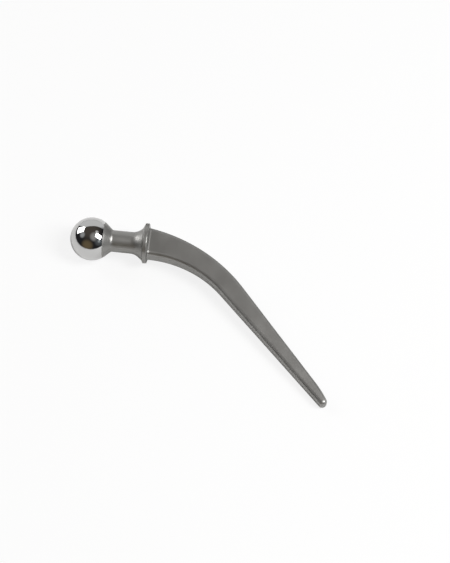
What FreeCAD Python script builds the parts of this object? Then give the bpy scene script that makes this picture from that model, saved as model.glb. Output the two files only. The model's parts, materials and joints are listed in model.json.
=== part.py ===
import FreeCAD, Part
import Sketcher
import math
import os

# Cemented hip implant stem, made in one piece: a polished ball head on a short cone, a round
# neck, a collar and a flat curved blade that narrows to a rounded tip.
#
# The sketches are drawn in the stem's mid plane. Their origin is the centre of the head, X runs
# along the straight part of the blade towards the tip and Y towards its outer side.
# Lengths are in millimetres and angles in degrees.

SIZES = {
    # head and neck, turned about the axis of the neck
    "head_diameter": 22.225,
    "polish_angle": 56.0,
    "cone_angle": 42.0,
    "cone_fillet": 2.0,
    "neck_diameter": 11.2,
    "neck_shaft_angle": 132.4,
    # flare and collar, with their places measured along the neck from the centre of the head
    "flare_start": 20.4,
    "flare_radius": 6.9,
    "flare_angle": 40.0,
    "flare_diameter": 18.7,
    "collar_shift": 0.55,
    "collar_diameter": 20.7,
    "collar_face_angle": 65.0,
    "collar_rim_width": 1.95,
    "collar_edge_radius": 0.45,
    "collar_seat": 29.05,
    # outline of the blade
    "blade_root": 27.9,
    "root_outer": 8.4,
    "root_inner": 7.55,
    "outer_bend_radius": 84.0,
    "inner_bend_radius": 55.0,
    "shaft_offset": 40.12,
    "shaft_taper": 2.1,
    "tip_distance": 144.3,
    "tip_width": 5.14,
    "tip_radius": 2.2,
    "nose_radius": 60.0,
    # section of the blade
    "root_thickness": 8.4,
    "waist_distance": 92.0,
    "waist_thickness": 6.7,
    "tip_thickness": 6.1,
    "edge_radius": 2.0,
    "root_fillet": 1.25,
}

# The rounding of the blade's rims stays below these shares of the tip's radius and thickness.
TIP_RADIUS_SHARE = 0.95
THICKNESS_SHARE = 0.49

# Lengths that differ by less than this count as equal.
CLOSE = 1e-3

# A direction that changes by less than this from one step to the next has settled.
SETTLED = 1e-9

# Numbers by which a sketch knows the ends of its lines, its X axis and its origin.
START, END, CENTRE = range(1, 4)
X_AXIS, Y_AXIS = -START, -END
ORIGIN = (X_AXIS, START)

doc = FreeCAD.newDocument("HipStem")
sheet = doc.addObject("Spreadsheet::Sheet", "Sizes")
for row, (name, value) in enumerate(SIZES.items(), start=1):
    sheet.set("A%d" % row, name)
    sheet.set("B%d" % row, str(value))
    sheet.setAlias("B%d" % row, name)
doc.recompute()


def size(name):
    return float(sheet.get(name))


def vec(x, y):
    return FreeCAD.Vector(x, y, 0)


def heading(angle):
    """Unit vector that points at an angle in radians."""
    return vec(math.cos(angle), math.sin(angle))


def left_of(way):
    return vec(-way.y, way.x)


def angle_of(point, centre):
    return math.atan2(point.y - centre.y, point.x - centre.x)


def line(a, b):
    return Part.LineSegment(a, b)


def arc(centre, radius, start, end):
    """Arc that runs anticlockwise between two angles in radians."""
    circle = Part.Circle(centre, FreeCAD.Vector(0, 0, 1), radius)
    return Part.ArcOfCircle(circle, start, end)


def new_sketch(body, name, role):
    """Sketch on one of the body's own origin planes."""
    sketch = body.newObject("Sketcher::SketchObject", name)
    plane = [f for f in body.Origin.OriginFeatures if f.Role == role][0]
    sketch.AttachmentSupport = [(plane, "")]
    sketch.MapMode = "FlatFace"
    return sketch


def tie(sketch, name, formula, *args):
    """Adds a dimension to the sketch and binds it to the sheet."""
    index = sketch.addConstraint(Sketcher.Constraint(*args))
    sketch.renameConstraint(index, name)
    sketch.setExpression("Constraints." + name, formula)


body = doc.addObject("PartDesign::Body", "hip_stem")
body.Label = "hip_stem"

neck_turn = math.pi - math.radians(size("neck_shaft_angle"))
NECK_TURN = "(180 deg - Sizes.neck_shaft_angle * 1 deg)"
along_neck = heading(neck_turn)
across_neck = left_of(along_neck)

# Outline of the blade. Both long edges are an arc that runs into a straight line, and the
# straight lines close towards the tip. The outer edge rounds off earlier than the inner one.
taper = math.radians(size("shaft_taper"))
root_middle = along_neck * size("blade_root")
root_outer = root_middle + across_neck * size("root_outer")
root_inner = root_middle - across_neck * size("root_inner")
outer_way = heading(-taper)
inner_way = heading(taper)
outer_end = vec(size("tip_distance"), size("shaft_offset") + size("tip_width") / 2)
inner_end = vec(size("tip_distance"), size("shaft_offset") - size("tip_width") / 2)


def bend_centre(root, end, way, radius):
    """Centre of the arc from the root point that meets the straight edge smoothly."""
    depth = (end - root).dot(left_of(way))
    reach = (root - end).dot(way) + math.sqrt(depth * (2 * radius - depth))
    return end + way * reach - left_of(way) * radius


outer_centre = bend_centre(root_outer, outer_end, outer_way, size("outer_bend_radius"))
inner_centre = bend_centre(root_inner, inner_end, inner_way, size("inner_bend_radius"))
outer_tangent = outer_centre + left_of(outer_way) * size("outer_bend_radius")
inner_tangent = inner_centre + left_of(inner_way) * size("inner_bend_radius")

tip_x = size("tip_distance") - size("tip_radius")
tip_y = inner_end.y + size("tip_radius") * (1 / math.cos(taper) - math.tan(taper))
tip_centre = vec(tip_x, tip_y)
tip_depth = (outer_end - tip_centre).dot(left_of(outer_way))
nose_reach = (tip_centre - outer_end).dot(outer_way) - math.sqrt(
    (size("nose_radius") - size("tip_radius")) ** 2 - (size("nose_radius") - tip_depth) ** 2)
nose_start = outer_end + outer_way * nose_reach
nose_centre = nose_start - left_of(outer_way) * size("nose_radius")
nose_end = nose_centre + (tip_centre - nose_centre).normalize() * size("nose_radius")
inner_tip = tip_centre - left_of(inner_way) * size("tip_radius")

outline = new_sketch(body, "blade_outline", "XY_Plane")
outline.addGeometry([
    line(root_inner, root_outer),
    arc(outer_centre, size("outer_bend_radius"),
        angle_of(outer_tangent, outer_centre), angle_of(root_outer, outer_centre)),
    line(outer_tangent, nose_start),
    arc(nose_centre, size("nose_radius"),
        angle_of(nose_end, nose_centre), angle_of(nose_start, nose_centre)),
    arc(tip_centre, size("tip_radius"),
        angle_of(inner_tip, tip_centre), angle_of(nose_end, tip_centre)),
    line(inner_tip, inner_tangent),
    arc(inner_centre, size("inner_bend_radius"),
        angle_of(inner_tangent, inner_centre), angle_of(root_inner, inner_centre)),
], False)
outline.addGeometry([line(vec(0, 0), root_middle), line(inner_end, outer_end)], True)
(ROOT, OUTER_BEND, OUTER_EDGE, NOSE, TIP, INNER_EDGE, INNER_BEND,
 NECK_LINE, TIP_LINE) = range(9)
outline.addConstraint([
    Sketcher.Constraint("Coincident", ROOT, END, OUTER_BEND, END),
    Sketcher.Constraint("Tangent", OUTER_BEND, START, OUTER_EDGE, START),
    Sketcher.Constraint("Tangent", OUTER_EDGE, END, NOSE, END),
    Sketcher.Constraint("Tangent", NOSE, START, TIP, END),
    Sketcher.Constraint("Tangent", TIP, START, INNER_EDGE, START),
    Sketcher.Constraint("Tangent", INNER_EDGE, END, INNER_BEND, START),
    Sketcher.Constraint("Coincident", INNER_BEND, END, ROOT, START),
    Sketcher.Constraint("Coincident", NECK_LINE, START, *ORIGIN),
    Sketcher.Constraint("PointOnObject", NECK_LINE, END, ROOT),
    Sketcher.Constraint("Perpendicular", NECK_LINE, ROOT),
    Sketcher.Constraint("Vertical", TIP_LINE),
    Sketcher.Constraint("PointOnObject", TIP_LINE, START, INNER_EDGE),
    Sketcher.Constraint("PointOnObject", TIP_LINE, END, OUTER_EDGE),
    Sketcher.Constraint("Tangent", TIP, TIP_LINE),
])
tie(outline, "neck_turn", NECK_TURN,
    "Angle", X_AXIS, START, NECK_LINE, START, neck_turn)
tie(outline, "root_place", "Sizes.blade_root", "Distance", NECK_LINE, size("blade_root"))
tie(outline, "root_outer", "Sizes.root_outer",
    "Distance", NECK_LINE, END, ROOT, END, size("root_outer"))
tie(outline, "root_inner", "Sizes.root_inner",
    "Distance", NECK_LINE, END, ROOT, START, size("root_inner"))
tie(outline, "outer_bend", "Sizes.outer_bend_radius",
    "Radius", OUTER_BEND, size("outer_bend_radius"))
tie(outline, "inner_bend", "Sizes.inner_bend_radius",
    "Radius", INNER_BEND, size("inner_bend_radius"))
tie(outline, "nose", "Sizes.nose_radius", "Radius", NOSE, size("nose_radius"))
tie(outline, "tip", "Sizes.tip_radius", "Radius", TIP, size("tip_radius"))
tie(outline, "tip_place", "Sizes.tip_distance",
    "DistanceX", *ORIGIN, TIP_LINE, START, size("tip_distance"))
tie(outline, "tip_width", "Sizes.tip_width",
    "DistanceY", TIP_LINE, START, TIP_LINE, END, size("tip_width"))
tie(outline, "offset", "Sizes.shaft_offset - Sizes.tip_width / 2",
    "DistanceY", *ORIGIN, TIP_LINE, START, inner_end.y)
tie(outline, "outer_taper", "Sizes.shaft_taper * 1 deg",
    "Angle", OUTER_EDGE, END, X_AXIS, END, taper)
tie(outline, "inner_taper", "Sizes.shaft_taper * 1 deg",
    "Angle", X_AXIS, START, INNER_EDGE, END, taper)

blade = body.newObject("PartDesign::Pad", "blade")
blade.Profile = outline
blade.Midplane = True
blade.setExpression("Length", "Sizes.root_thickness + Sizes.tip_thickness")
blade.Refine = False
doc.recompute()

# Seen from the side the blade thins quickly from the outer corner of its root to a waist and
# slowly from there to the tip. What lies outside of its two faces is cut away.
thin_from = root_outer.x
half_root = size("root_thickness") / 2
half_waist = size("waist_thickness") / 2
half_tip = size("tip_thickness") / 2
half_start = half_root + half_tip
thinning = new_sketch(body, "blade_thinning", "XZ_Plane")
for face, side, first in (("front", 1, 0), ("back", -1, 5)):
    corners = [
        vec(thin_from, side * half_root),
        vec(size("waist_distance"), side * half_waist),
        vec(size("tip_distance"), side * half_tip),
        vec(size("tip_distance"), side * half_start),
        vec(thin_from, side * half_start),
    ]
    steep, slight, end, top, start = range(first, first + 5)
    thinning.addGeometry([line(corners[i - 1], corners[i]) for i in (1, 2, 3, 4, 0)], False)
    thinning.addConstraint([
        Sketcher.Constraint("Coincident", steep, END, slight, START),
        Sketcher.Constraint("Coincident", slight, END, end, START),
        Sketcher.Constraint("Coincident", end, END, top, START),
        Sketcher.Constraint("Coincident", top, END, start, START),
        Sketcher.Constraint("Coincident", start, END, steep, START),
        Sketcher.Constraint("Vertical", end),
        Sketcher.Constraint("Horizontal", top),
        Sketcher.Constraint("Vertical", start),
    ])
    for name, point, place, formula in (
        ("_start", (steep, START), thin_from,
         "Sizes.blade_root * cos" + NECK_TURN + " - Sizes.root_outer * sin" + NECK_TURN),
        ("_middle", (steep, END), size("waist_distance"), "Sizes.waist_distance"),
        ("_end", (slight, END), size("tip_distance"), "Sizes.tip_distance"),
    ):
        tie(thinning, face + name, formula, "DistanceX", *ORIGIN, *point, place)
    for name, point, height, formula in (
        ("_root", (steep, START), half_root, "Sizes.root_thickness / 2"),
        ("_waist", (steep, END), half_waist, "Sizes.waist_thickness / 2"),
        ("_tip", (slight, END), half_tip, "Sizes.tip_thickness / 2"),
        ("_top", (top, START), half_start, "Sizes.root_thickness / 2 + Sizes.tip_thickness / 2"),
    ):
        low, high = (ORIGIN, point) if side > 0 else (point, ORIGIN)
        tie(thinning, face + name, formula, "DistanceY", *low, *high, height)

thinned = body.newObject("PartDesign::Pocket", "thinned_blade")
thinned.Profile = thinning
thinned.Midplane = True
thinned.Type = "ThroughAll"
thinned.Refine = False
doc.recompute()


def along(point):
    """Distance of a point from the centre of the head along the axis of the neck."""
    return point.dot(along_neck)


def rim_edges(shape):
    """Edges round the front and back faces of the blade, except where it meets the collar."""
    wide = [face for face in shape.Faces if abs(face.normalAt(0, 0).z) > CLOSE]
    names = []
    for index, edge in enumerate(shape.Edges, start=1):
        on_rim = any(edge.isSame(other) for face in wide for other in face.Edges)
        at_root = all(abs(along(v.Point) - size("blade_root")) < CLOSE for v in edge.Vertexes)
        if on_rim and not at_root:
            names.append("Edge%d" % index)
    return names


# Both rims of the blade are rounded from the root all the way round the tip.
rounded = body.newObject("PartDesign::Fillet", "rounded_blade")
rounded.Base = (thinned, rim_edges(thinned.Shape))
rounded.setExpression("Radius", "min(Sizes.edge_radius; %g * Sizes.tip_radius; "
                      "%g * Sizes.tip_thickness; %g * Sizes.root_thickness)"
                      % (TIP_RADIUS_SHARE, THICKNESS_SHARE, THICKNESS_SHARE))
rounded.Refine = False
doc.recompute()

# Half section of the head, cone, neck and flare. Its sketch is turned so that its own X runs
# along the neck. The ball is drawn as two arcs, polished first and satin next to the cone. The
# flare ends inside the collar.
head = size("head_diameter") / 2
neck = size("neck_diameter") / 2
cone = math.radians(size("cone_angle"))
polish = math.radians(size("polish_angle"))
cone_start = heading(math.pi / 2 - cone) * head
polish_end = heading(polish) * head
cone_meets_neck = vec(cone_start.x + (cone_start.y - neck) / math.tan(cone), neck)
fillet_reach = size("cone_fillet") * math.tan(cone / 2)
cone_end = cone_meets_neck - heading(-cone) * fillet_reach
neck_start = cone_meets_neck + vec(fillet_reach, 0)
fillet_centre = neck_start + vec(0, size("cone_fillet"))
neck_end = vec(size("flare_start"), neck)
flare = math.radians(size("flare_angle"))
flare_centre = neck_end + vec(0, size("flare_radius"))
flare_end = flare_centre - left_of(heading(flare)) * size("flare_radius")
slope_y = size("flare_diameter") / 2
slope_end = vec(flare_end.x + (slope_y - flare_end.y) / math.tan(flare), slope_y)


def turned_sketch(name):
    """Sketch in the mid plane whose X axis is the axis of the neck."""
    sketch = new_sketch(body, name, "XY_Plane")
    sketch.AttachmentOffset = FreeCAD.Placement(
        vec(0, 0), FreeCAD.Rotation(FreeCAD.Vector(0, 0, 1), math.degrees(neck_turn)))
    sketch.setExpression("AttachmentOffset.Rotation.Angle", NECK_TURN)
    return sketch


profile = turned_sketch("neck_profile")
profile.addGeometry([
    line(vec(-head, 0), vec(slope_end.x, 0)),
    line(vec(slope_end.x, 0), slope_end),
    line(slope_end, flare_end),
    arc(flare_centre, size("flare_radius"), -math.pi / 2, angle_of(flare_end, flare_centre)),
    line(neck_end, neck_start),
    arc(fillet_centre, size("cone_fillet"), angle_of(cone_end, fillet_centre), -math.pi / 2),
    line(cone_end, cone_start),
    arc(vec(0, 0), head, math.pi / 2 - cone, polish),
    arc(vec(0, 0), head, polish, math.pi),
], False)
profile.addGeometry([line(vec(0, 0), polish_end)], True)
(AXIS, NECK_FOOT, SLOPE, FLARE, NECK, CONE_FILLET, CONE,
 SATIN_BALL, POLISHED_BALL, POLISH_LINE) = range(10)
profile.addConstraint([
    Sketcher.Constraint("PointOnObject", AXIS, START, X_AXIS),
    Sketcher.Constraint("PointOnObject", AXIS, END, X_AXIS),
    Sketcher.Constraint("Coincident", AXIS, END, NECK_FOOT, START),
    Sketcher.Constraint("Vertical", NECK_FOOT),
    Sketcher.Constraint("Coincident", NECK_FOOT, END, SLOPE, START),
    Sketcher.Constraint("Tangent", SLOPE, END, FLARE, END),
    Sketcher.Constraint("Tangent", FLARE, START, NECK, START),
    Sketcher.Constraint("Horizontal", NECK),
    Sketcher.Constraint("Tangent", NECK, END, CONE_FILLET, END),
    Sketcher.Constraint("Tangent", CONE_FILLET, START, CONE, START),
    Sketcher.Constraint("Tangent", CONE, END, SATIN_BALL, START),
    Sketcher.Constraint("Coincident", SATIN_BALL, END, POLISHED_BALL, START),
    Sketcher.Constraint("Coincident", SATIN_BALL, CENTRE, *ORIGIN),
    Sketcher.Constraint("Coincident", POLISHED_BALL, CENTRE, *ORIGIN),
    Sketcher.Constraint("Coincident", POLISHED_BALL, END, AXIS, START),
    Sketcher.Constraint("Coincident", POLISH_LINE, START, *ORIGIN),
    Sketcher.Constraint("Coincident", POLISH_LINE, END, SATIN_BALL, END),
])
tie(profile, "head", "Sizes.head_diameter / 2", "Radius", POLISHED_BALL, head)
tie(profile, "polish", "Sizes.polish_angle * 1 deg",
    "Angle", X_AXIS, START, POLISH_LINE, START, polish)
tie(profile, "cone", "Sizes.cone_angle * 1 deg", "Angle", CONE, START, X_AXIS, END, cone)
tie(profile, "cone_fillet", "Sizes.cone_fillet", "Radius", CONE_FILLET, size("cone_fillet"))
tie(profile, "neck", "Sizes.neck_diameter / 2", "DistanceY", *ORIGIN, NECK, START, neck)
tie(profile, "flare_start", "Sizes.flare_start",
    "DistanceX", *ORIGIN, NECK, START, size("flare_start"))
tie(profile, "flare", "Sizes.flare_radius", "Radius", FLARE, size("flare_radius"))
tie(profile, "slope", "Sizes.flare_angle * 1 deg", "Angle", X_AXIS, START, SLOPE, END, flare)
tie(profile, "flare_size", "Sizes.flare_diameter / 2",
    "DistanceY", *ORIGIN, SLOPE, START, slope_y)
doc.recompute()

neck_and_head = body.newObject("PartDesign::Revolution", "head_and_neck")
neck_and_head.Profile = profile
neck_and_head.ReferenceAxis = (profile, ["H_Axis"])
neck_and_head.Angle = 360.0
neck_and_head.Refine = False
doc.recompute()

# Half section of the collar: a disc with a plain rim, rounded towards the seat, and a front that
# slopes up from the neck. It sits a little off the axis of the neck, towards the outer side.
corner = size("collar_edge_radius")
shift = size("collar_shift")
rim = size("collar_diameter") / 2
incline = math.radians(size("collar_face_angle"))
seat_x = size("collar_seat")
front_x = seat_x - size("collar_rim_width")
corner_centre = vec(seat_x - corner, shift + rim - corner)
face_foot = vec(front_x - rim / math.tan(incline), shift)

disc = turned_sketch("collar_profile")
disc.addGeometry([
    line(face_foot, vec(seat_x, shift)),
    line(vec(seat_x, shift), corner_centre + vec(corner, 0)),
    arc(corner_centre, corner, 0, math.pi / 2),
    line(corner_centre + vec(0, corner), vec(front_x, shift + rim)),
    line(vec(front_x, shift + rim), face_foot),
], False)
disc.addGeometry([line(vec(0, shift), vec(seat_x, shift))], True)
DISC_AXIS, SEAT, SEAT_CORNER, RIM, FACE, MIDDLE = range(6)
disc.addConstraint([
    Sketcher.Constraint("Horizontal", DISC_AXIS),
    Sketcher.Constraint("Coincident", DISC_AXIS, END, SEAT, START),
    Sketcher.Constraint("Vertical", SEAT),
    Sketcher.Constraint("Tangent", SEAT, END, SEAT_CORNER, START),
    Sketcher.Constraint("Tangent", SEAT_CORNER, END, RIM, START),
    Sketcher.Constraint("Horizontal", RIM),
    Sketcher.Constraint("Coincident", RIM, END, FACE, START),
    Sketcher.Constraint("Coincident", FACE, END, DISC_AXIS, START),
    Sketcher.Constraint("PointOnObject", MIDDLE, START, Y_AXIS),
    Sketcher.Constraint("Coincident", MIDDLE, END, DISC_AXIS, END),
    Sketcher.Constraint("Horizontal", MIDDLE),
])
tie(disc, "seat", "Sizes.collar_seat", "DistanceX", *ORIGIN, SEAT, START, seat_x)
tie(disc, "shift", "Sizes.collar_shift", "DistanceY", *ORIGIN, SEAT, START, shift)
tie(disc, "corner", "Sizes.collar_edge_radius", "Radius", SEAT_CORNER, corner)
tie(disc, "rim", "Sizes.collar_diameter / 2", "DistanceY", SEAT, START, RIM, START, rim)
tie(disc, "rim_width", "Sizes.collar_rim_width",
    "DistanceX", RIM, END, SEAT, START, size("collar_rim_width"))
tie(disc, "face", "Sizes.collar_face_angle * 1 deg",
    "Angle", DISC_AXIS, START, FACE, END, incline)
doc.recompute()

turned = body.newObject("PartDesign::Revolution", "collar")
turned.Profile = disc
turned.ReferenceAxis = (disc, ["Axis0"])
turned.Angle = 360.0
turned.Refine = False
doc.recompute()

seat_middle = along_neck * seat_x + across_neck * shift


def seat_edges(shape):
    """Edges round the blade in the flat underside of the collar."""
    names = []
    for index, edge in enumerate(shape.Edges, start=1):
        first, last = edge.FirstParameter, edge.LastParameter
        points = [edge.valueAt(first + (last - first) * k / 4) for k in range(5)]
        on_seat = all(abs(along(p) - seat_x) < CLOSE for p in points)
        on_rim = all(abs((p - seat_middle).Length - rim + corner) < CLOSE for p in points)
        if on_seat and not on_rim:
            names.append("Edge%d" % index)
    return names


# A small fillet leads from the blade to the underside of the collar.
joined = body.newObject("PartDesign::Fillet", "blade_to_collar")
joined.Base = (turned, seat_edges(turned.Shape))
joined.setExpression("Radius", "Sizes.root_fillet")
joined.Refine = False
doc.recompute()
body.Tip = joined

# Put down, the stem lies on three points: the ball, the rim of the collar and the tip. The
# normal of the plane that touches all three is found in a few steps from their sizes.
rounding = rounded.Radius.Value
core_x = size("tip_distance") - rounding
slant = (half_waist - half_tip) / (size("tip_distance") - size("waist_distance"))
core_half = half_tip + slant * rounding - rounding
up = FreeCAD.Vector(0, 0, 1)
change = 1.0
while change > SETTLED:
    lean = up.dot(along_neck)
    rounded_part, ring_x = (corner, corner_centre.x) if lean < 0 else (0, front_x)
    ring = along_neck * ring_x + across_neck * shift
    ring_rise = (rim - rounded_part) * math.sqrt(1 - lean ** 2) + rounded_part - head
    tip_rise = rounding + core_half * up.z - head
    across = core_x * ring.y - tip_centre.y * ring.x
    up_x = (tip_rise * ring.y - tip_centre.y * ring_rise) / across
    up_y = (core_x * ring_rise - tip_rise * ring.x) / across
    found = FreeCAD.Vector(up_x, up_y, math.sqrt(1 - up_x ** 2 - up_y ** 2))
    change = (found - up).Length
    up = found
forward = (vec(1, 0) - up * up.x).normalize()
lying = FreeCAD.Rotation(forward, up.cross(forward), up, "ZXY").inverted()
body.Placement = FreeCAD.Placement(vec(0, 0), lying)
doc.recompute()

for obj in doc.Objects:
    if "Invalid" in obj.State or "Error" in obj.State:
        raise RuntimeError("failed: " + obj.Name)
if body.Shape.isNull() or not body.Shape.isValid() or len(body.Shape.Solids) != 1:
    raise RuntimeError("the stem has no valid shape")

os.makedirs("parts", exist_ok=True)
body.Shape.exportStep("parts/" + body.Label + ".step")
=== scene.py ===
import json
import math

import bpy
from mathutils import Matrix, Vector

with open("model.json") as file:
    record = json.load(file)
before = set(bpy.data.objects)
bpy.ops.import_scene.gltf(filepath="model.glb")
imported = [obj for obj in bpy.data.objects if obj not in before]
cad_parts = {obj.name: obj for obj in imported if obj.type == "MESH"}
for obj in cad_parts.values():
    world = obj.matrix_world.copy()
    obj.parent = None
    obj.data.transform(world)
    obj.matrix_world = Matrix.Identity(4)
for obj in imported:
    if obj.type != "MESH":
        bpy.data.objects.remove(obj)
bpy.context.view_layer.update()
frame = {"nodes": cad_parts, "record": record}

MM_PER_METRE = 1000

# The stem, and from the record the way from its head down the neck, and the head's radius.
scene = bpy.context.scene
stem = frame["nodes"]["hip_stem"]
mounts = {mount["name"]: mount for mount in frame["record"]["mounts"]}
along_neck = Vector(mounts["collar_seat"]["axis"])
head_radius = mounts["ball_head"]["dims"]["r_mm"] / MM_PER_METRE

# The studio is described in the photograph's directions: X to the right, Y away and Z up, with
# the centre of the stem's head as the origin. The stem lies turned in it. Lengths are in metres.
STEM_TURN = math.radians(53.44)


def studio(x, y, z):
    """A point or direction of the studio, in the stem's frame."""
    return Matrix.Rotation(STEM_TURN, 3, "Z") @ Vector((x, y, z))


# Camera. The picture is upright, so the lens is set from the picture's height.
IMAGE_HEIGHT = 563
FOCAL_PIXELS = 1800
CAMERA_PLACE = (0.06845, -0.4958, 0.7825)
CAMERA_ELEVATION = math.radians(59)
NEAREST_SEEN = 0.05
FARTHEST_SEEN = 100

camera = bpy.data.objects.new("camera", bpy.data.cameras.new("camera"))
scene.collection.objects.link(camera)
camera.data.lens = camera.data.sensor_width * FOCAL_PIXELS / IMAGE_HEIGHT
camera.location = studio(*CAMERA_PLACE)
camera.rotation_euler = (math.pi / 2 - CAMERA_ELEVATION, 0, STEM_TURN)
camera.data.clip_start = NEAREST_SEEN
camera.data.clip_end = FARTHEST_SEEN
scene.camera = camera

# Nodes. A Mix node has sockets for several kinds of data under the same names, so the ones for
# colours are taken by number.
MIX_FACTOR = 0
MIX_FIRST_COLOUR = 6
MIX_SECOND_COLOUR = 7
MIX_RESULT = 2


def nodes_of(thing):
    """The emptied node tree of a material or world."""
    thing.use_nodes = True
    tree = thing.node_tree
    tree.nodes.clear()
    return tree


def connect(tree, socket, value):
    """Links another node's output to a socket, or sets the socket to a value."""
    if isinstance(value, bpy.types.NodeSocket):
        tree.links.new(value, socket)
    else:
        socket.default_value = value


def add(tree, kind, **sockets):
    """Adds a node. A socket's name has _ for a space, and it takes a value or a link."""
    node = tree.nodes.new(kind)
    for name, value in sockets.items():
        connect(tree, node.inputs[name.replace("_", " ")], value)
    return node


def maths(tree, operation, a, b):
    """Works out one value from two."""
    node = tree.nodes.new("ShaderNodeMath")
    node.operation = operation
    connect(tree, node.inputs[0], a)
    connect(tree, node.inputs[1], b)
    return node.outputs[0]


def dot(tree, vector, other):
    """Works out how far one vector reaches along another."""
    node = tree.nodes.new("ShaderNodeVectorMath")
    node.operation = "DOT_PRODUCT"
    connect(tree, node.inputs[0], vector)
    connect(tree, node.inputs[1], other)
    return node.outputs["Value"]


def ramp(tree, value, from_min, from_max, to_min=0.0, to_max=1.0, smooth=False):
    """Turns one range of a value into another and holds it at the ends."""
    node = add(tree, "ShaderNodeMapRange", Value=value)
    node.interpolation_type = "SMOOTHSTEP" if smooth else "LINEAR"
    limits = {"From Min": from_min, "From Max": from_max, "To Min": to_min, "To Max": to_max}
    for name, limit in limits.items():
        node.inputs[name].default_value = limit
    return node.outputs["Result"]


def mix(tree, factor, first, second, blend="MIX"):
    """Mixes the second colour into the first, or blends it in another way."""
    node = add(tree, "ShaderNodeMix")
    node.data_type = "RGBA"
    node.blend_type = blend
    connect(tree, node.inputs[MIX_FACTOR], factor)
    connect(tree, node.inputs[MIX_FIRST_COLOUR], first)
    connect(tree, node.inputs[MIX_SECOND_COLOUR], second)
    return node.outputs[MIX_RESULT]


def noise(tree, place, scale, detail=2.0):
    """A noise's value at each place. Its scale is in patches to the metre."""
    return add(tree, "ShaderNodeTexNoise", Vector=place, Scale=scale, Detail=detail).outputs[0]


# Materials. A pair of values is the range of a slow change, or where a mask starts and is full.
# Most values of a noise lie in NOISE_MIDDLE, and the slow changes follow a cloudy noise.
NOISE_MIDDLE = (0.3, 0.7)
CLOUD_SCALE = 90.0
CLOUD_DETAIL = 4.0

# Satin steel. It isn't wholly metallic, because a blasted face also scatters light.
SATIN = (0.31, 0.306, 0.295, 1)
SATIN_METALLIC = 0.88
SATIN_ROUGHNESS = (0.405, 0.445)
TONE_CHANGE = 0.05
BLAST_GRAIN = 3500.0
RING_SCALE = 1900.0
GRAIN_HEIGHT = 0.00002
ROUNDED_EDGE = 0.00025

# The turning rings run down to the collar. These are distances from the head's centre.
RINGS_END = (0.029, 0.025)

# Worn edges with a painted highlight: sharp edges take the lighter colour WEAR_AND_SHEEN, partly
# as wear and partly as a painted highlight. WEAR_AND_SHEEN_BEND is how closely the surface's
# normal agrees with the one averaged over WEAR_AND_SHEEN_EDGE, and WEAR_AND_SHEEN_PLACES is where
# in the cloudy noise the lighter edges come in.
WEAR_AND_SHEEN = (0.37, 0.366, 0.353, 1)
WEAR_AND_SHEEN_EDGE = 0.0005
WEAR_AND_SHEEN_BEND = (0.98, 0.88)
WEAR_AND_SHEEN_PLACES = (0.35, 0.6)

# Polished steel, which begins at POLISH_ANGLE from the neck's axis. A face is on the ball if its
# middle is as far from the head's centre as the ball's surface, within BALL_TOLERANCE. Hairlines
# are a noise with HAIRLINE_STRETCH patches to the metre in three directions.
POLISHED = (0.60, 0.60, 0.595, 1)
POLISHED_ROUGHNESS = (0.025, 0.045)
HAIRLINE_STRETCH = (150.0, 9000.0, 2500.0)
HAIRLINE_TURN = (0.6, 0.3, 0.9)
HAIRLINE_DEPTH = 0.0000006
HAIRLINE_PLACES = (0.62, 0.72)
POLISH_ANGLE = math.radians(56)
BALL_TOLERANCE = 0.0002


def satin_steel():
    """Bead-blasted steel, with faint turning rings and sharp edges painted a little brighter,
    as wear and as a painted highlight.
    """
    material = bpy.data.materials.new("satin_steel")
    tree = nodes_of(material)
    place = add(tree, "ShaderNodeTexCoord").outputs["Object"]
    grain = noise(tree, place, BLAST_GRAIN)
    cloud = noise(tree, place, CLOUD_SCALE, CLOUD_DETAIL)

    # Only what was turned has rings: the cone, the neck and the collar.
    along = dot(tree, place, tuple(along_neck))
    rings = noise(tree, add(tree, "ShaderNodeCombineXYZ", X=along).outputs[0], RING_SCALE)
    turned = ramp(tree, along, *RINGS_END)
    height = maths(tree, "ADD", grain, maths(tree, "MULTIPLY", rings, turned))

    # An edge is painted lighter, as wear and as a painted highlight, where the normal turns fast
    #     # beside it.
    smooth = add(tree, "ShaderNodeNewGeometry").outputs["Normal"]
    bend = dot(tree, add(tree, "ShaderNodeBevel", Radius=WEAR_AND_SHEEN_EDGE).outputs[0], smooth)
    wear_and_sheen = maths(tree, "MULTIPLY", ramp(tree, bend, *WEAR_AND_SHEEN_BEND), ramp(tree, cloud, *WEAR_AND_SHEEN_PLACES))

    tone = ramp(tree, cloud, *NOISE_MIDDLE, 1 - TONE_CHANGE, 1 + TONE_CHANGE)
    grey = add(tree, "ShaderNodeCombineColor", Red=tone, Green=tone, Blue=tone).outputs[0]
    # The lighter edge colour is laid on the satin here: wear and a painted highlight.
    shade = mix(tree, 1.0, mix(tree, wear_and_sheen, SATIN, WEAR_AND_SHEEN), grey, "MULTIPLY")
    rough = ramp(tree, cloud, *NOISE_MIDDLE, *SATIN_ROUGHNESS)
    rounded = add(tree, "ShaderNodeBevel", Radius=ROUNDED_EDGE).outputs[0]
    bump = add(tree, "ShaderNodeBump", Distance=GRAIN_HEIGHT, Height=height, Normal=rounded)
    shader = add(tree, "ShaderNodeBsdfPrincipled", Base_Color=shade, Metallic=SATIN_METALLIC,
                 Roughness=rough, Normal=bump.outputs[0])
    add(tree, "ShaderNodeOutputMaterial", Surface=shader.outputs[0])
    return material


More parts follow.
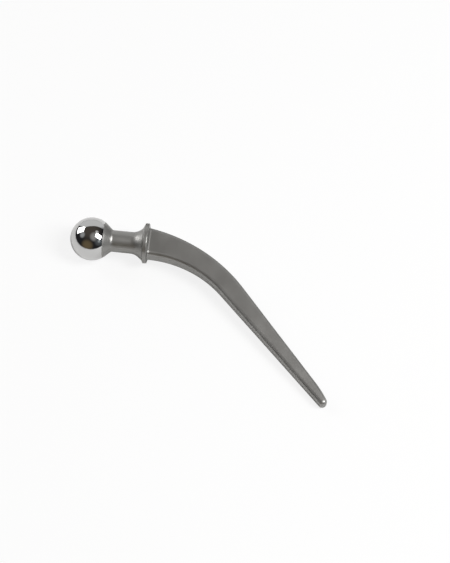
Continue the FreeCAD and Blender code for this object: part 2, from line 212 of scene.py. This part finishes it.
def polished_steel():
    """Mirror-polished steel with a few hairlines left from the polishing."""
    material = bpy.data.materials.new("polished_steel")
    tree = nodes_of(material)
    place = add(tree, "ShaderNodeTexCoord").outputs["Object"]
    stretched = add(tree, "ShaderNodeMapping", Vector=place, Rotation=HAIRLINE_TURN,
                    Scale=HAIRLINE_STRETCH).outputs[0]
    hairline = ramp(tree, noise(tree, stretched, scale=1.0), *HAIRLINE_PLACES)
    rough = ramp(tree, noise(tree, place, CLOUD_SCALE), *NOISE_MIDDLE, *POLISHED_ROUGHNESS)

    # The mirror takes the true sphere's normal, so that no facet shows in it.
    outward = tree.nodes.new("ShaderNodeVectorMath")
    outward.operation = "NORMALIZE"
    connect(tree, outward.inputs[0], place)
    normal = add(tree, "ShaderNodeVectorTransform", Vector=outward.outputs["Vector"])
    normal.vector_type = "NORMAL"
    normal.convert_from = "OBJECT"
    normal.convert_to = "WORLD"
    bump = add(tree, "ShaderNodeBump", Distance=HAIRLINE_DEPTH, Height=hairline,
               Normal=normal.outputs[0])
    shader = add(tree, "ShaderNodeBsdfPrincipled", Base_Color=POLISHED, Metallic=1.0,
                 Roughness=rough, Normal=bump.outputs[0])
    add(tree, "ShaderNodeOutputMaterial", Surface=shader.outputs[0])
    return material


# The head is mirror-polished except round the neck, where the satin cone begins.
SATIN_SLOT = 0
POLISHED_SLOT = 1

stem.data.materials.clear()
stem.data.materials.append(satin_steel())
stem.data.materials.append(polished_steel())
for polygon in stem.data.polygons:
    centre = polygon.center
    on_ball = abs(centre.length - head_radius) < BALL_TOLERANCE
    polished = on_ball and centre.angle(along_neck) > POLISH_ANGLE
    polygon.material_index = POLISHED_SLOT if polished else SATIN_SLOT

# Table. It is lit as a pale grey, and the camera sees it lifted to white with a faint shadow.
SEEN_WHITE = (1, 1, 1, 1)
TABLE_HALF = 4.0
TABLE_GREY = (0.76, 0.76, 0.76, 1)
TABLE_LIFT = 0.84

table_mesh = bpy.data.meshes.new("table")
signs = [(-1, -1), (1, -1), (1, 1), (-1, 1)]
corners = [(x * TABLE_HALF, y * TABLE_HALF, -head_radius) for x, y in signs]
table_mesh.from_pydata(corners, [], [(0, 1, 2, 3)])
table = bpy.data.objects.new("table", table_mesh)
scene.collection.objects.link(table)
white_table = bpy.data.materials.new("white_table")
tree = nodes_of(white_table)
diffuse = add(tree, "ShaderNodeBsdfDiffuse", Color=TABLE_GREY)
glow = add(tree, "ShaderNodeEmission", Color=SEEN_WHITE)
seen = add(tree, "ShaderNodeLightPath").outputs["Is Camera Ray"]
lifted = add(tree, "ShaderNodeMixShader")
connect(tree, lifted.inputs[0], maths(tree, "MULTIPLY", seen, TABLE_LIFT))
connect(tree, lifted.inputs[1], diffuse.outputs[0])
connect(tree, lifted.inputs[2], glow.outputs[0])
add(tree, "ShaderNodeOutputMaterial", Surface=lifted.outputs[0])
table_mesh.materials.append(white_table)

# Dark cards low on the far side. They are seen only as reflections in the steel. They meet at
# CARD_BEND, and each place is X and Y of the studio.
CARD_GREY = (0.13, 0.13, 0.125, 1)
CARD_START = (0.026, 0.035)
CARD_BEND = (0.087, 0.024)
CARD_END = (0.135, -0.066)
HEAD_CARD_HEIGHT = 0.020
BLADE_CARD_HEIGHT = 0.013

dark_card = bpy.data.materials.new("dark_card")
tree = nodes_of(dark_card)
flat_grey = add(tree, "ShaderNodeEmission", Color=CARD_GREY)
add(tree, "ShaderNodeOutputMaterial", Surface=flat_grey.outputs[0])


def card(name, start, end, height):
    """Upright card that stands on the table from one point of the studio to another."""
    levels = (-head_radius, height - head_radius)
    points = [studio(*place, level) for level in levels for place in (start, end)]
    mesh = bpy.data.meshes.new(name)
    mesh.from_pydata(points, [], [(0, 1, 3, 2)])
    mesh.materials.append(dark_card)
    standing = bpy.data.objects.new(name, mesh)
    scene.collection.objects.link(standing)
    standing.visible_camera = False
    standing.visible_diffuse = False
    standing.visible_shadow = False


card("head_card", CARD_START, CARD_BEND, HEAD_CARD_HEIGHT)
card("blade_card", CARD_BEND, CARD_END, BLADE_CARD_HEIGHT)

# Soft boxes, placed where the head mirrors them.
BOX_DISTANCE = 1.2


def soft_box(name, way, long_way, width, height, radiance):
    """Lamp that faces the stem's head from a direction. Its width runs along long_way."""
    light = bpy.data.lights.new(name, "AREA")
    light.shape = "RECTANGLE"
    light.size = width
    light.size_y = height
    light.energy = radiance * math.pi * width * height
    lamp = bpy.data.objects.new(name, light)
    scene.collection.objects.link(lamp)
    z = studio(*way).normalized()
    x = studio(*long_way)
    x = (x - z * x.dot(z)).normalized()
    facing = Matrix((x, z.cross(x), z)).transposed().to_4x4()
    lamp.matrix_world = Matrix.Translation(z * BOX_DISTANCE) @ facing


soft_box("right_soft_box", way=(0.627, -0.217, 0.748), long_way=(0.70, -0.26, -0.665),
         width=0.68, height=0.42, radiance=16.7)
soft_box("left_soft_box", way=(-0.746, 0.435, 0.495), long_way=(0.512, -0.09, 0.854),
         width=0.78, height=0.56, radiance=4.7)

# World: a dark studio with a white table below the horizon and a white sheet behind. SHEET_TOP is
# the sheet's height for each unit of depth, and SHEET_FALL how much lower it is for each unit to
# the right. Its left end and its fade on the right are sideways for each unit of depth.
DARK = (0.022, 0.022, 0.024, 1)
LIT_WHITE = (0.74, 0.74, 0.74, 1)
SHEET_TOP = 1.22
SHEET_FALL = 0.35
SHEET_LEFT_END = -0.9
SHEET_RIGHT_FADE = (1.6, 0.7)
SOFT_EDGE = 0.05

world = bpy.data.worlds.new("studio")
scene.world = world
tree = nodes_of(world)
coordinates = add(tree, "ShaderNodeTexCoord")
turn = add(tree, "ShaderNodeVectorRotate", Vector=coordinates.outputs["Generated"],
           Angle=-STEM_TURN)
turn.rotation_type = "Z_AXIS"
way = turn.outputs[0]
x, y, z = add(tree, "ShaderNodeSeparateXYZ", Vector=way).outputs


def soft_patch(behind_it, direction, radius, tint):
    """Lays a soft round patch over the world's colour so far. Its radius is in degrees."""
    nearness = dot(tree, way, tuple(Vector(direction).normalized()))
    amount = ramp(tree, nearness, math.cos(math.radians(radius)), 1.0, smooth=True)
    return mix(tree, amount, behind_it, tint)


# What else the head mirrors, each laid over the ones before it.
WINDOW_WAY = (0.67, -0.56, 0.49)

warm_ceiling = soft_patch(DARK, direction=(-0.10, 0.30, 0.95), radius=65,
                          tint=(0.085, 0.073, 0.062, 1))
lamp_glow = soft_patch(warm_ceiling, direction=(0.30, -0.34, 0.89), radius=30,
                       tint=(0.36, 0.35, 0.34, 1))
brown_wall = soft_patch(lamp_glow, direction=(-0.36, -0.87, 0.36), radius=36,
                        tint=(0.16, 0.12, 0.068, 1))
grey_card = soft_patch(brown_wall, direction=(-0.73, -0.04, 0.68), radius=18,
                       tint=(0.38, 0.39, 0.40, 1))
blue_haze = soft_patch(grey_card, WINDOW_WAY, radius=30, tint=(0.11, 0.12, 0.13, 1))
blue_window = soft_patch(blue_haze, WINDOW_WAY, radius=10, tint=(0.38, 0.41, 0.43, 1))
lamp_stand = soft_patch(blue_window, direction=(0.48, 0.13, 0.87), radius=11,
                        tint=(0.70, 0.69, 0.68, 1))

# The table and the sheet, laid over the patches.
below = ramp(tree, z, SOFT_EDGE, -SOFT_EDGE)
behind = maths(tree, "GREATER_THAN", y, 0.0)
fall = maths(tree, "MULTIPLY", maths(tree, "MAXIMUM", x, 0.0), SHEET_FALL)
top = maths(tree, "SUBTRACT", maths(tree, "MULTIPLY", y, SHEET_TOP), fall)
under_top = ramp(tree, maths(tree, "SUBTRACT", top, z), -SOFT_EDGE, SOFT_EDGE)
sideways = maths(tree, "DIVIDE", x, y)
past_left_end = maths(tree, "GREATER_THAN", sideways, SHEET_LEFT_END)
before_right_fade = ramp(tree, sideways, *SHEET_RIGHT_FADE, smooth=True)
sheet = maths(tree, "MULTIPLY", maths(tree, "MULTIPLY", behind, under_top),
              maths(tree, "MULTIPLY", past_left_end, before_right_fade))
room = mix(tree, maths(tree, "MAXIMUM", below, sheet), lamp_stand, LIT_WHITE)
seen = add(tree, "ShaderNodeLightPath").outputs["Is Camera Ray"]
colour = mix(tree, seen, room, SEEN_WHITE)
background = add(tree, "ShaderNodeBackground", Color=colour, Strength=1.0)
add(tree, "ShaderNodeOutputWorld", Surface=background.outputs[0])

scene.view_settings.view_transform = "Standard"
